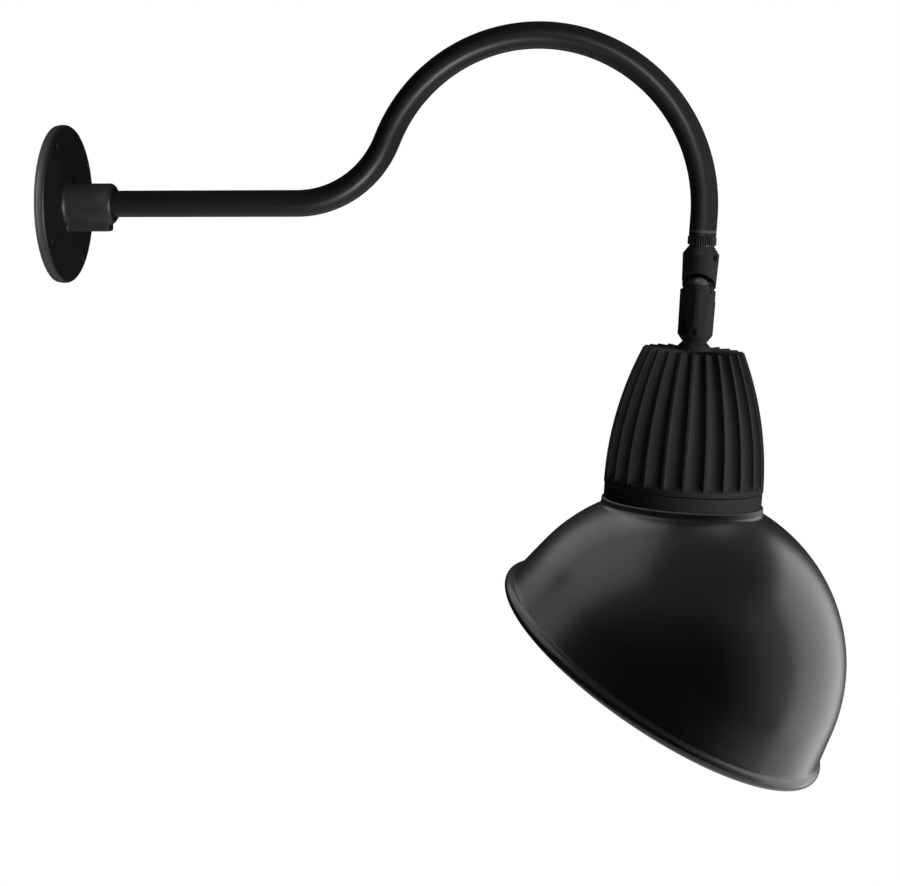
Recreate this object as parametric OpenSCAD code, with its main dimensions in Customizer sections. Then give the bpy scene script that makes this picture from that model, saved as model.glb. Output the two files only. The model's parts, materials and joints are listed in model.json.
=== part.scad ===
// Gooseneck wall light: wall plate, bent tube arm, swivel knuckle, finned lamp housing and angled dome shade.
// The wall is the plane X = 0. The arm leaves it along +X and +Z is up. Millimetres.

/* [Wall plate] */
// Diameter of the round wall plate
plate_d = 127; // [115:1:150]
// Depth from the wall to the plate's front face
plate_t = 8; // [6:0.5:12]
// Rounding of the plate's front edge
plate_edge = 3; // [1:0.5:4]
// Thickness of the plate's front wall
plate_wall = 3; // [2:0.5:4]
// Width of the plate's rim behind
plate_rim = 3; // [2:0.5:4]
// Thickness of the rubber gasket on the wall
gasket_t = 1.5; // [1:0.5:3]
// Bolt circle of the four wall screws
bolt_circle = 110; // [100:1:112]
// Wall screw hole diameter
bolt_hole_d = 5.5; // [4:0.5:7]
// Angle of the first wall screw hole above the horizontal
bolt_angle = 32; // [0:1:89]
// Diameter of the hub that holds the arm
hub_d = 33; // [30:0.5:40]
// Distance from the wall to the hub's nose
hub_len = 47; // [42:1:60]
// Depth of the arm's socket in the hub
socket_depth = 30; // [20:1:32]
// Drop of the set screw keel below the arm's axis
keel_drop = 22; // [20:0.5:26]
// Width of the set screw keel
keel_w = 14; // [10:1:20]

/* [Arm] */
// Outside diameter of the arm tube
tube_d = 21.3; // [20:0.1:24]
// Wall thickness of the arm tube
tube_wall = 2.5; // [2:0.1:3]
// Straight run from the wall to the first bend
arm_run = 197.5; // [120:0.5:300]
// Centre line radius of the upward bend
up_bend_r = 80; // [60:1:110]
// Angle turned by the upward bend
up_bend_angle = 67.5; // [50:0.5:75]
// Centre line radius of the big arch
arch_r = 130.5; // [100:0.5:170]
// Lean of the drop and of the head, towards the wall at the bottom
head_lean = 4.5; // [0:0.5:10]
// Straight drop after the arch
arm_drop = 15.5; // [15:0.5:40]
// Diameter of one insulated lead
lead_d = 2.3; // [1.5:0.1:2.4]

/* [Swivel knuckle] */
// Outside diameter of the threaded nipple
nipple_d = 16.2; // [15.6:0.1:16.2]
// Wall thickness of the nipple
nipple_wall = 2.6; // [2:0.1:2.7]
// Length of nipple inside the arm
nipple_up = 14; // [10:1:14]
// Length of nipple below the arm's end
nipple_down = 22; // [18:0.5:24]
// Diameter of the knurled lock ring
ring_d = 22.4; // [21.5:0.1:26]
// Height of the lock ring
ring_h = 6.7; // [5:0.1:8]
// Number of knurl grooves
knurls = 36; // [24:2:48]
// Diameter of the knuckle at its waist
waist_d = 19.5; // [18:0.5:21]
// Height of the knuckle's sloping shoulder
shoulder_h = 6.2; // [4:0.1:7]
// Largest diameter of the upper knuckle
upper_d = 28.4; // [26:0.1:30]
// Diameter of the upper knuckle at its lower end
upper_end_d = 26.4; // [26:0.1:28]
// Distance from the arm's end to the tilt axis
hinge_drop = 43.2; // [43:0.1:50]
// Radius of the rounded cheeks round the tilt axis
cheek_r = 12; // [11.5:0.1:12.2]
// Radius of the ball that rounds the cheeks' outer edges
cheek_ball_r = 15.4; // [14.6:0.1:16]
// Radius of the arched seam in which a cheek turns
arch_seam_r = 15.4; // [14.8:0.1:15.6]
// Largest diameter of the lower knuckle
lower_d = 28.1; // [26:0.1:30]
// Diameter of the lower knuckle above its end slope
lower_end_d = 27.3; // [26:0.1:28]
// Distance from the tilt axis to the lower knuckle's end
lower_len = 38.6; // [36:0.1:50]
// Height of the slope at the lower knuckle's end
lower_slope_h = 5.3; // [4:0.1:7]
// Diameter of the lower knuckle's end face
lower_tip_d = 19.4; // [18.5:0.1:22]
// Diameter of the tilt bolt
bolt_d = 6; // [5:0.5:6.5]
// Thickness of the washer between the cheeks
washer_t = 1; // [0.6:0.1:1.4]
// Diameter of the knuckle's set screws
grub_d = 5.4; // [4:0.1:5.6]

/* [Lamp housing] */
// Number of cooling fins
fins = 24; // [16:2:30]
// Thickness of a fin
fin_t = 2.2; // [1.5:0.1:3]
// Depth of the grooves between the fins
fin_depth = 7; // [5:0.5:8]
// Height of the finned body
housing_h = 107.7; // [106:0.5:125]
// Diameter of the housing at its base
housing_d = 124.6; // [122:0.2:130]
// Radius of the bulging fin outline
fin_arc_r = 262; // [250:1:300]
// Height of the plain ring below the fins
base_ring_h = 4.3; // [3:0.1:7]
// Diameter of the neck at the foot of its cone
neck_d = 29.4; // [24:0.2:34]
// Height of the neck cone
neck_h = 5.1; // [4:0.1:7]
// Diameter of the spigot in the lower knuckle
spigot_d = 16; // [14:0.1:16.4]
// Length of that spigot
spigot_len = 15.5; // [13:0.5:16]
// Metal between the groove floors and the frame's screw holes
screw_wall = 2.1; // [1.5:0.1:3]
// Metal between the frame's screw holes and the lamp bore
bore_wall = 3.2; // [2:0.1:4]
// Width of the ledge round the driver bay
ledge_w = 10; // [9:0.5:12]
// Depth of metal above the driver bay
roof_t = 22; // [20:0.5:23]
// Depth of the lamp bore above the base
lamp_bore_h = 35.8; // [33:0.1:38]
// Air round the driver
driver_air = 5; // [4:0.5:8]
// Height of the driver
driver_h = 38; // [25:1:44]
// Thickness of the plate that carries the light source
carrier_t = 6; // [4:0.5:8]
// Diameter of the light source board
board_d = 60; // [56:1:64]
// Diameter of the glowing disc
emitter_d = 22; // [16:1:23]

/* [Lens frame] */
// Height of the dark seam under the housing
seam_h = 0.8; // [0.6:0.1:1.5]
// Radial step from the housing's base ring in to the plain band
band_inset = 0.55; // [0.2:0.05:1.5]
// Height of the plain band
band_h = 10.7; // [9:0.1:14]
// Radial step from the band to the part inside the shade
band_step = 0.5; // [0.3:0.1:1]
// Length of the part inside the shade's neck
frame_tail = 6.3; // [6:0.1:7]
// Radial step from the lamp bore in to the lens
lens_inset = 0.9; // [0.5:0.1:2]
// Thickness of the lens
lens_t = 4; // [3:0.5:5]
// Width of the lip that holds the lens
lens_lip = 3.1; // [2.5:0.1:4]
// Diameter of the frame's screws
screw_d = 4; // [3:0.5:4]
// Width of the clamp ring's hold under the shade's shoulder
clamp_hold = 4.7; // [3:0.1:6]
// Thickness of the clamp ring at its edge
clamp_edge = 2.4; // [2:0.1:4]

/* [Shade] */
// Outside radius of the dome
dome_r = 138; // [136:0.5:150]
// Thickness of the spun sheet
sheet_t = 2; // [1.5:0.1:2.5]
// Height of the shade's neck above the dome
shade_neck_h = 5.6; // [5:0.1:7]
// Tilt of the dome from the housing's axis
dome_tilt = 29.3; // [20:0.1:31]
// How far the shade is turned on the housing
shade_turn = 7.5; // [0:0.5:30]
// Half angle of the skirt below the dome
skirt_angle = 10.5; // [6:0.5:16]
// Distance from the dome's centre to the rim's plane
rim_drop = 10; // [6:0.5:20]
// Radius of the rolled bead
bead_r = 5.3; // [4.5:0.1:6]
// Radial step of the bead's outside beyond the skirt
bead_step = 3.4; // [3:0.1:4.4]

/* [Fits] */
// Radial clearance of a turning fit
run_fit = 0.06; // [0.03:0.01:0.09]
// Radial clearance of a threaded or slipped fit
slip_fit = 0.02; // [0.01:0.01:0.05]
// Gap between pieces that move past each other
free_gap = 0.3; // [0.2:0.05:0.4]

/* [Hidden] */
$fn = 96;
far = 400;
black = "#1c1c1d";
dark = "#262627";
steel = "silver";
rubber = "#101010";

// Arm's centre line: start in the hub, the two bend centres and the tube's end
arm_start = hub_len - socket_depth;
tube_bore = tube_d - 2 * tube_wall;
bend2_x = arm_run + (up_bend_r + arch_r) * sin(up_bend_angle);
bend2_z = up_bend_r - (up_bend_r + arch_r) * cos(up_bend_angle);
end_x = bend2_x + arch_r * cos(head_lean) - arm_drop * sin(head_lean);
end_z = bend2_z - arch_r * sin(head_lean) - arm_drop * cos(head_lean);

band_half = 0.5;
band_lip = 0.05;

// Leads lie side by side against the nipple's bore
nipple_bore = nipple_d - 2 * nipple_wall;
lead_gap = 0.2;
lead_ring = (nipple_bore - lead_d) / 2 - lead_gap;
lead_spread = 2 * asin((lead_d + lead_gap) / 2 / lead_ring);
lead_end = 2;

// Radii and diameters inside the housing, from the groove floors inwards
frame_screw_circle = housing_d - 2 * fin_depth - screw_d - 2 * screw_wall;
lamp_bore_d = frame_screw_circle - screw_d - 2 * bore_wall;
bay_d = lamp_bore_d - 2 * ledge_w;
driver_d = bay_d - 2 * driver_air;
band_d = housing_d - 2 * band_inset;
lens_d = lamp_bore_d - 2 * lens_inset;
light_d = lens_d - 2 * lens_lip;

// Depths below the arm's end, along the head's axis
waist_u = ring_h + free_gap;
waist_h = 0.5;
cone_u = waist_u + waist_h;
body_u = cone_u + shoulder_h;
upper_end_u = hinge_drop - 3.2;
lower_top_u = hinge_drop - 1.7;
lower_end_u = hinge_drop + lower_len;
seal_t = 0.6;
neck_u = lower_end_u + seal_t;
fin_top_u = neck_u + neck_h + 0.6;
base_u = fin_top_u + housing_h;
band_u = base_u + seam_h;
step_u = band_u + band_h;
frame_end_u = step_u + frame_tail;
bay_u = fin_top_u + roof_t;
lamp_u = base_u - lamp_bore_h;
carrier_u = lamp_u + carrier_t;
pad_t = 0.5;
board_u = carrier_u + pad_t;
board_t = 1.6;
emitter_u = board_u + board_t;
lens_u = band_u + 0.2;
lens_seat_u = lens_u + lens_t;
lens_gasket_t = 1;
ledge = (bay_d + lamp_bore_d) / 4;
carrier_screw_angle = 30;
carrier_screw_grip = 8;
small_head_h = 1.8;
head_h = 2.4;
frame_screw_grip = 12;
clamp_screw_grip = 8;

// Shade radii: neck inside and outside, dome inside, bead centre
neck_in_r = band_d / 2 - band_step + run_fit;
neck_out_r = neck_in_r + sheet_t;
dome_in_r = dome_r - sheet_t;
neck_top_u = step_u + free_gap;
dome_drop = neck_top_u + shade_neck_h + sqrt(dome_r * dome_r - neck_out_r * neck_out_r);
clamp_d = 2 * (neck_in_r + clamp_hold);
clamp_end_u = sphere_u(dome_in_r - free_gap, clamp_d / 2) + clamp_edge;
bead_c = (dome_r / cos(skirt_angle) + rim_drop * tan(skirt_angle)) + bead_step - bead_r;

module head() {
    translate([end_x, 0, end_z])
        rotate([0, head_lean, 0])
            children();
}

// Cylinder or cone on the head's axis, from depth u1 to depth u2
module post(u1, u2, r1, r2) {
    translate([0, 0, -u2])
        cylinder(h = u2 - u1, r1 = r2, r2 = r1);
}

// Round bar along Y through the tilt axis, from y1 to y2
module hinge_bar(y1, y2, r) {
    translate([0, y2, -hinge_drop])
        rotate([90, 0, 0])
            cylinder(h = y2 - y1, r = r);
}

module joint_band(r) {
    translate([0, 0, -band_half])
        cylinder(h = 2 * band_half, r = r + band_lip);
}

// Round bar along the arm, offset by a towards the outside of the arch and by b sideways
module arm_bar(x1, a, b, r, drop) {
    translate([x1, -b, a])
        rotate([0, 90, 0])
            cylinder(h = arm_run - x1, r = r);
    translate([arm_run, 0, up_bend_r])
        rotate([90, 0, 0])
            rotate([0, 0, -90])
                rotate_extrude(angle = up_bend_angle)
                    translate([up_bend_r - a, b])
                        circle(r = r);
    translate([bend2_x, 0, bend2_z])
        rotate([90, 0, 0])
            rotate([0, 0, -head_lean])
                rotate_extrude(angle = 90 + up_bend_angle + head_lean)
                    translate([arch_r + a, b])
                        circle(r = r);
    head()
        translate([a, -b, -drop])
            cylinder(h = arm_drop + drop, r = r);
    // Short bands that bridge the three places where the runs meet
    translate([arm_run, -b, a])
        rotate([0, 90, 0])
            joint_band(r);
    translate([arm_run, 0, up_bend_r])
        rotate([0, -up_bend_angle, 0])
            translate([0, -b, a - up_bend_r])
                rotate([0, 90, 0])
                    joint_band(r);
    head()
        translate([a, -b, arm_drop])
            joint_band(r);
}

// Places for n screws round the head's axis
module around(n, r, start = 0) {
    for (i = [0 : n - 1])
        rotate([0, 0, start + i * 360 / n])
            translate([r, 0, 0])
                children();
}

// Screw with its head down: the head's top at depth u, the shank going up by len
module screw_up(u, len, d, head_d, head_h) {
    difference() {
        union() {
            post(u - len, u, d / 2, d / 2);
            post(u, u + head_h, head_d / 2, head_d / 2);
        }
        post(u + head_h / 2, u + head_h + 1, d / 4, d / 4);
    }
}

module at_bolts() {
    for (i = [0 : 3])
        rotate([bolt_angle + 90 * i, 0, 0])
            translate([0, bolt_circle / 2, 0])
                rotate([0, 90, 0])
                    children();
}

keel_x = hub_len - socket_depth / 2;
keel_edge = 3;
nose_r = 4.3;
boss_r = 4.5;
hub_foot = 2.5;

module wall_plate() {
    back_r = plate_d / 2 - plate_rim;
    color(black)
    difference() {
        union() {
            rotate([0, 90, 0])
                rotate_extrude() {
                    translate([0, gasket_t])
                        square([plate_d / 2 - plate_edge, plate_t - gasket_t]);
                    translate([0, gasket_t])
                        square([plate_d / 2, plate_t - gasket_t - plate_edge]);
                    translate([plate_d / 2 - plate_edge, plate_t - plate_edge])
                        circle(r = plate_edge);
                }
            rotate([0, 90, 0])
                rotate_extrude() {
                    translate([0, gasket_t])
                        square([hub_d / 2 - nose_r, hub_len - gasket_t]);
                    translate([0, gasket_t])
                        square([hub_d / 2, hub_len - gasket_t - nose_r]);
                    translate([hub_d / 2 - nose_r, hub_len - nose_r])
                        circle(r = nose_r);
                }
            translate([plate_t, 0, 0])
                rotate([0, 90, 0])
                    cylinder(h = hub_foot, r1 = hub_d / 2 + hub_foot, r2 = hub_d / 2);
            translate([gasket_t, -keel_w / 2, -keel_drop + keel_edge])
                cube([hub_len - nose_r - gasket_t, keel_w, keel_drop - keel_edge]);
            translate([gasket_t, -keel_w / 2 + keel_edge, -keel_drop])
                cube([hub_len - nose_r - gasket_t, keel_w - 2 * keel_edge, keel_drop]);
            for (s = [-1, 1])
                translate([gasket_t, s * (keel_w / 2 - keel_edge), -keel_drop + keel_edge])
                    rotate([0, 90, 0])
                        cylinder(h = hub_len - nose_r - gasket_t, r = keel_edge);
        }
        // Hollow back, leaving the hub's root and the four screw bosses
        difference() {
            rotate([0, 90, 0])
                cylinder(h = plate_t - plate_wall, r = back_r);
            rotate([0, 90, 0])
                cylinder(h = plate_t, r = hub_d / 2);
            at_bolts()
                cylinder(h = plate_t, r = boss_r);
        }
        at_bolts()
            translate([0, 0, -1])
                cylinder(h = plate_t + 2, r = bolt_hole_d / 2);
        translate([arm_start, 0, 0])
            rotate([0, 90, 0])
                cylinder(h = hub_len, r = tube_d / 2 + slip_fit);
        translate([-1, 0, 0])
            rotate([0, 90, 0])
                cylinder(h = hub_len, r = tube_bore / 2);
        translate([keel_x, 0, -keel_drop - 1])
            cylinder(h = keel_drop + 1, r = grub_d / 2 + slip_fit);
        translate([0, -earth_y, 0])
            rotate([0, 90, 0])
                cylinder(h = earth_len, r = earth_d / 2 + slip_fit);
    }
}

module wall_gasket() {
    color(rubber)
    difference() {
        rotate([0, 90, 0])
            cylinder(h = gasket_t, r = plate_d / 2 - 0.5);
        translate([-1, 0, 0])
            rotate([0, 90, 0])
                cylinder(h = gasket_t + 2, r = bolt_circle / 2 - boss_r - 1);
        at_bolts()
            translate([0, 0, -1])
                cylinder(h = gasket_t + 2, r = bolt_hole_d / 2);
    }
}

earth_d = 3;
earth_len = 9;
earth_y = (hub_d + tube_bore) / 4;

// Green earth screw behind the hub
module earth_screw() {
    color("green")
    translate([0, -earth_y, 0])
        rotate([0, 90, 0])
            difference() {
                union() {
                    translate([0, 0, gasket_t])
                        cylinder(h = earth_len - gasket_t - 1, r = earth_d / 2);
                    translate([0, 0, 0.3])
                        cylinder(h = gasket_t - 0.3, r = earth_d * 0.65);
                }
                translate([0, 0, -1])
                    cylinder(h = 1.8, r = earth_d / 4);
            }
}

module hub_set_screw() {
    tip = tube_d / 2 + slip_fit;
    color(steel)
    difference() {
        translate([keel_x, 0, -keel_drop + 1])
            cylinder(h = keel_drop - 1 - tip, r = grub_d / 2);
        translate([keel_x, 0, -keel_drop])
            cylinder(h = 4, r = grub_d / 4, $fn = 6);
    }
}

module arm_tube() {
    color(black)
    difference() {
        arm_bar(arm_start, 0, 0, tube_d / 2, 0);
        arm_bar(arm_start - 1, 0, 0, tube_bore / 2, 1);
    }
}

// Three insulated leads, held all the way inside the arm
module arm_leads() {
    for (i = [-1 : 1])
        color(["black", "white", "green"][i + 1])
            arm_bar(lead_end, -lead_ring * cos(i * lead_spread), lead_ring * sin(i * lead_spread),
                lead_d / 2, nipple_down);
}

module nipple() {
    color(steel)
    head()
        difference() {
            post(-nipple_up, nipple_down, nipple_d / 2, nipple_d / 2);
            post(-nipple_up - 1, nipple_down + 1, nipple_bore / 2, nipple_bore / 2);
        }
}

module lock_ring() {
    groove_r = 0.5;
    color(dark)
    head()
        translate([0, 0, -ring_h])
            linear_extrude(ring_h - 0.1)
                difference() {
                    circle(d = ring_d);
                    circle(r = nipple_d / 2 + run_fit);
                    for (i = [0 : knurls - 1])
                        rotate(i * 360 / knurls)
                            translate([ring_d / 2 + 0.15, 0])
                                circle(r = groove_r, $fn = 24);
                }
}

// Rounded half of the tilt joint, on the side of s, from the washer outwards
module cheek(s) {
    inner = washer_t / 2 + 0.15;
    intersection() {
        hinge_bar(s > 0 ? inner : -upper_d / 2, s > 0 ? upper_d / 2 : -inner, cheek_r);
        translate([0, 0, -hinge_drop])
            sphere(r = cheek_ball_r);
        post(hinge_drop - 2 * cheek_r, hinge_drop + 2 * cheek_r, upper_end_d / 2, upper_end_d / 2);
    }
}

// Space in which the other half's cheek turns
module cheek_recess(s) {
    inner = washer_t / 2 + 0.15;
    hinge_bar(s > 0 ? -inner : -upper_d, s > 0 ? upper_d : inner, arch_seam_r);
}

// Half of the chamber in which the leads go round the tilt bolt
chamber_in = 4.8;
chamber_out = 8.6;
chamber_depth = 5.5;
lead_hole_r = 2.8;
lead_hole_y = 3.9;
bolt_head_d = 10;
bolt_head_y = 7.8;
bolt_end_y = 9.5;

module chamber(s) {
    difference() {
        hinge_bar(s > 0 ? 0 : -chamber_depth, s > 0 ? chamber_depth : 0, chamber_out);
        hinge_bar(-far, far, chamber_in);
    }
}

upper_screw_u = 15.6;
upper_screw_angle = -30;

module knuckle_upper() {
    color(dark)
    head()
        difference() {
            union() {
                post(waist_u, cone_u, waist_d / 2, waist_d / 2);
                post(cone_u, body_u, waist_d / 2, upper_d / 2);
                difference() {
                    post(body_u, upper_end_u, upper_d / 2, upper_end_d / 2);
                    cheek_recess(-1);
                }
                cheek(1);
            }
            post(waist_u - 1, nipple_down + free_gap, nipple_d / 2 + run_fit, nipple_d / 2 + run_fit);
            translate([0, lead_hole_y, 0])
                post(nipple_down, hinge_drop - (chamber_in + chamber_out) / 2, lead_hole_r, lead_hole_r);
            chamber(1);
            hinge_bar(0, far, bolt_d / 2 + run_fit);
            hinge_bar(bolt_head_y - 0.8, far, bolt_head_d / 2 + free_gap);
            rotate([0, 0, upper_screw_angle])
                translate([0, 0, -upper_screw_u])
                    rotate([0, 90, 0])
                        cylinder(h = upper_d, r = grub_d / 2 + slip_fit);
        }
}

// Set screw with a hex socket, its tip at radius r1 and its end at radius r2
module grub(u, angle, r1, r2) {
    rotate([0, 0, angle])
        translate([0, 0, -u])
            rotate([0, 90, 0])
                difference() {
                    translate([0, 0, r1])
                        cylinder(h = r2 - r1, r = grub_d / 2);
                    translate([0, 0, r2 - 2])
                        cylinder(h = 3, r = grub_d / 4, $fn = 6);
                }
}

module upper_set_screw() {
    color(steel)
    head()
        grub(upper_screw_u, upper_screw_angle, nipple_d / 2 + run_fit + free_gap, upper_d / 2 - 1.6);
}

module bolt_lock_washer() {
    color(steel)
    head()
        difference() {
            hinge_bar(bolt_head_y - 0.8, bolt_head_y - free_gap / 2, bolt_head_d / 2);
            hinge_bar(0, far, bolt_d / 2 + 0.2);
        }
}

module knuckle_washer() {
    color(rubber)
    head()
        difference() {
            hinge_bar(-washer_t / 2, washer_t / 2, cheek_r - 0.3);
            hinge_bar(-far, far, chamber_out);
        }
}

module pivot_bolt() {
    color(steel)
    head()
        difference() {
            union() {
                hinge_bar(-bolt_end_y, bolt_head_y, bolt_d / 2);
                hinge_bar(bolt_head_y, bolt_head_y + 3.6, bolt_head_d / 2);
            }
            translate([0, bolt_head_y + 4, -hinge_drop])
                rotate([90, 0, 0])
                    cylinder(h = 2.4, r = bolt_d * 0.45, $fn = 6);
        }
}

lower_screw_u = lower_end_u - 8.1;

module knuckle_lower() {
    slope_u = lower_end_u - lower_slope_h;
    color(dark)
    head()
        difference() {
            union() {
                difference() {
                    post(lower_top_u, slope_u, lower_d / 2, lower_end_d / 2);
                    cheek_recess(1);
                }
                post(slope_u, lower_end_u, lower_end_d / 2, lower_tip_d / 2);
                cheek(-1);
            }
            post(lower_end_u - spigot_len - 1, lower_end_u + 1, spigot_d / 2 + slip_fit, spigot_d / 2 + slip_fit);
            translate([0, -lead_hole_y, 0])
                post(hinge_drop + (chamber_in + chamber_out) / 2, lower_end_u, lead_hole_r, lead_hole_r);
            chamber(-1);
            hinge_bar(-bolt_end_y - 0.5, 0, bolt_d / 2 + slip_fit);
            rotate([0, 0, -90])
                translate([0, 0, -lower_screw_u])
                    rotate([0, 90, 0])
                        cylinder(h = lower_d, r = grub_d / 2 + slip_fit);
        }
}

module lower_set_screw() {
    color(steel)
    head()
        grub(lower_screw_u, -90, spigot_d / 2 + slip_fit, lower_d / 2 - 1.8);
}

module neck_seal() {
    color(rubber)
    head()
        difference() {
            post(lower_end_u, neck_u, lower_tip_d / 2 - 0.2, lower_tip_d / 2 - 0.2);
            post(0, far, spigot_d / 2 + 0.1, spigot_d / 2 + 0.1);
        }
}

// Solid of the bulging outline, drawn in by inset, from depth u1 to the base ring
module bulge(inset, u1) {
    rotate_extrude()
        intersection() {
            translate([housing_d / 2 - fin_arc_r, -base_u])
                circle(r = fin_arc_r - inset, $fn = 360);
            translate([0, -base_u])
                square([housing_d, base_u - u1]);
        }
}

spigot_bore = 10;
lead_slot_r = 24;
driver_ear_r = driver_d / 2 - 3;
driver_gap = 0.3;
driver_screw_len = 7;
ear_t = 3;

module housing() {
    color(black)
    head()
        difference() {
            union() {
                bulge(fin_depth, fin_top_u + 1);
                intersection() {
                    bulge(0, fin_top_u);
                    for (i = [0 : fins / 2 - 1])
                        rotate([0, 0, (i + 0.5) * 360 / fins])
                            translate([-housing_d, -fin_t / 2, -base_u])
                                cube([2 * housing_d, fin_t, housing_h]);
                }
                post(base_u - base_ring_h, base_u, housing_d / 2, housing_d / 2);
                post(neck_u, neck_u + neck_h, lower_tip_d / 2, neck_d / 2);
                post(neck_u + neck_h, fin_top_u + 1, neck_d / 2, neck_d / 2);
                post(lower_end_u - spigot_len, neck_u, spigot_d / 2, spigot_d / 2);
            }
            post(0, bay_u + 1, spigot_bore / 2, spigot_bore / 2);
            post(bay_u, lamp_u + 1, bay_d / 2, bay_d / 2);
            post(lamp_u, base_u + 1, lamp_bore_d / 2, lamp_bore_d / 2);
            around(2, driver_ear_r)
                post(bay_u - driver_screw_len, bay_u + 1, screw_d * 3 / 8 + slip_fit, screw_d * 3 / 8 + slip_fit);
            around(3, ledge, carrier_screw_angle)
                post(lamp_u - carrier_screw_grip - 1, lamp_u + 1, screw_d / 2 + slip_fit, screw_d / 2 + slip_fit);
            around(4, frame_screw_circle / 2, 45)
                post(base_u - frame_screw_grip - 1, base_u + 1, screw_d / 2 + slip_fit, screw_d / 2 + slip_fit);
        }
}

// Potted driver, screwed up against the roof of its bay
module driver() {
    color("white")
    head()
        difference() {
            post(bay_u + driver_gap, bay_u + driver_gap + driver_h, driver_d / 2, driver_d / 2);
            around(2, driver_ear_r)
                post(bay_u + driver_gap + ear_t, far, screw_d, screw_d);
            around(2, driver_ear_r)
                post(0, far, screw_d * 3 / 8 + 0.2, screw_d * 3 / 8 + 0.2);
            post(0, bay_u + driver_gap + 6, 6, 6);
        }
}

module driver_screws() {
    color(steel)
    head()
        around(2, driver_ear_r)
            screw_up(bay_u + driver_gap + ear_t, driver_screw_len + ear_t, screw_d * 3 / 4, screw_d * 1.6, 2);
}

// Leads from the knuckle down into the driver
module driver_leads() {
    ring = spigot_bore / 2 - lead_d / 2 - lead_gap;
    spread = 2 * asin((lead_d + lead_gap) / 2 / ring);
    for (i = [-1 : 1])
        color(["black", "white", "green"][i + 1])
            head()
                rotate([0, 0, 90 + i * spread])
                    translate([-ring, 0, 0])
                        post(lower_end_u - spigot_len, bay_u + driver_gap + 6, lead_d / 2, lead_d / 2);
}

module led_carrier() {
    color("gainsboro")
    head()
        difference() {
            post(lamp_u, carrier_u, lamp_bore_d / 2 - free_gap, lamp_bore_d / 2 - free_gap);
            around(3, ledge, carrier_screw_angle)
                post(0, far, screw_d / 2 + 0.25, screw_d / 2 + 0.25);
            around(2, board_screw_r, 90)
                post(0, far, board_screw_d / 2 + slip_fit, board_screw_d / 2 + slip_fit);
            translate([-board_lead_r, 0, 0])
                post(0, far, board_lead_d * 2, board_lead_d * 2);
        }
}

module carrier_screws() {
    color(steel)
    head()
        around(3, ledge, carrier_screw_angle)
            screw_up(carrier_u, carrier_t + carrier_screw_grip, screw_d, screw_d * 1.75, head_h);
}

board_screw_d = 3;
board_screw_r = board_d / 2 - 4;
board_lead_d = 1.8;
board_lead_r = 24;

module thermal_pad() {
    color("lightgrey")
    head()
        difference() {
            post(carrier_u, board_u, board_d / 2 - 0.5, board_d / 2 - 0.5);
            around(2, board_screw_r, 90)
                post(0, far, board_screw_d / 2 + 0.3, board_screw_d / 2 + 0.3);
            translate([-board_lead_r, 0, 0])
                post(0, far, board_lead_d * 2, board_lead_d * 2);
        }
}

module led_board() {
    color("white")
    head()
        difference() {
            post(board_u, emitter_u, board_d / 2, board_d / 2);
            around(2, board_screw_r, 90)
                post(0, far, board_screw_d / 2 + 0.2, board_screw_d / 2 + 0.2);
            for (s = [-1, 1])
                translate([-board_lead_r, s * board_lead_d, 0])
                    post(0, far, board_lead_d / 2 + slip_fit, board_lead_d / 2 + slip_fit);
        }
}

// Two leads from the driver through the carrier, soldered into the light source board
module board_leads() {
    for (s = [-1, 1])
        color(s > 0 ? "red" : "black")
            head()
                translate([-board_lead_r, s * board_lead_d, 0])
                    post(bay_u + driver_gap + driver_h, emitter_u + 0.6, board_lead_d / 2, board_lead_d / 2);
}

module led_emitter() {
    color("gold")
    head()
        post(emitter_u, emitter_u + 1, emitter_d / 2, emitter_d / 2);
}

module board_screws() {
    color(steel)
    head()
        around(2, board_screw_r, 90)
            screw_up(emitter_u, board_t + pad_t + carrier_t - 1, board_screw_d, board_screw_d * 1.6, small_head_h);
}

// Bright cone between the light source and the lens
module reflector() {
    top_u = emitter_u + 0.3;
    mouth_u = lens_u - 0.3;
    top_r = emitter_d / 2 + 0.8;
    mouth_r = light_d / 2;
    wall = 1;
    color("whitesmoke")
    head()
        rotate_extrude()
            polygon([[top_r, -top_u], [mouth_r, -mouth_u], [lamp_bore_d / 2 - free_gap, -mouth_u],
                [lamp_bore_d / 2 - free_gap, -mouth_u + wall], [mouth_r, -mouth_u + wall],
                [top_r + wall, -top_u]]);
}

module frame_gasket() {
    color(rubber)
    head()
        difference() {
            post(base_u, band_u, band_d / 2 - 1.6, band_d / 2 - 1.6);
            post(0, far, frame_screw_circle / 2 + screw_d / 2 + 0.6, frame_screw_circle / 2 + screw_d / 2 + 0.6);
        }
}

clamp_screw_u = frame_end_u - clamp_screw_grip;

module lens_frame() {
    color(black)
    head()
        difference() {
            union() {
                post(band_u, step_u, band_d / 2, band_d / 2);
                post(step_u, frame_end_u, band_d / 2 - band_step, band_d / 2 - band_step);
            }
            post(0, far, light_d / 2, light_d / 2);
            post(0, lens_seat_u + lens_gasket_t, lens_d / 2 + 0.2, lens_d / 2 + 0.2);
            around(4, frame_screw_circle / 2, 45) {
                post(0, far, screw_d / 2 + 0.2, screw_d / 2 + 0.2);
                post(frame_end_u - head_h - 0.2, far, screw_d * 0.95, screw_d * 0.95);
            }
            around(3, frame_screw_circle / 2)
                post(clamp_screw_u, far, screw_d / 2 + slip_fit, screw_d / 2 + slip_fit);
        }
}

module frame_screws() {
    u = frame_end_u - head_h - 0.2;
    color(steel)
    head()
        around(4, frame_screw_circle / 2, 45)
            screw_up(u, u - base_u + frame_screw_grip, screw_d, screw_d * 1.75, head_h);
}

module lens_gasket() {
    color(rubber)
    head()
        difference() {
            post(lens_seat_u, lens_seat_u + lens_gasket_t, lens_d / 2, lens_d / 2);
            post(0, far, light_d / 2 + 0.3, light_d / 2 + 0.3);
        }
}

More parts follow.
